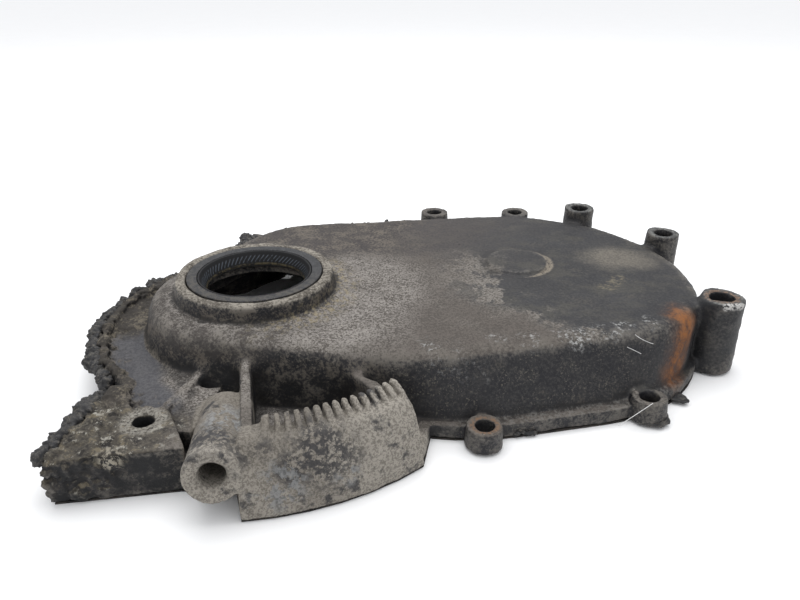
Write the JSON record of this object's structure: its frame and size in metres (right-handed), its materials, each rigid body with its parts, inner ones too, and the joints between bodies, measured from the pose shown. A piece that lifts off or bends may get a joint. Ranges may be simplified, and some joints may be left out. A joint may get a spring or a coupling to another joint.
{
  "type": "timing cover",
  "caption": "Cast timing cover with a domed chain housing, seal collar, pan arch with ears, toothed timing scale, probe tube and bolt bosses.",
  "frame": {"origin": "middle of the part's box in plan, at the underside of the gasket remains that it lies on", "axes": "+X up the engine from the pan arch to the camshaft end, +Y towards the side away from the timing scale, +Z out of the engine along the crankshaft"},
  "size_m": [0.3232, 0.2691, 0.0461],
  "materials": {
    "cast_aluminium": "rough cast, oily and corroded",
    "seal_steel": "dark phosphate",
    "seal_rubber": "satin",
    "spring_steel": "oily wire",
    "gasket_paper": "oil-soaked fibre",
    "old_sealant": "lumpy"
  },
  "bodies": {
    "root": {"cover_casting": "cast_aluminium", "seal_case": "seal_steel", "seal_lip": "seal_rubber", "garter_spring": "spring_steel", "gasket_remains": "gasket_paper", "sealant_arch": "old_sealant", "sealant_near_ear": "old_sealant", "sealant_far_ear": "old_sealant"}
  },
  "joints": []
}
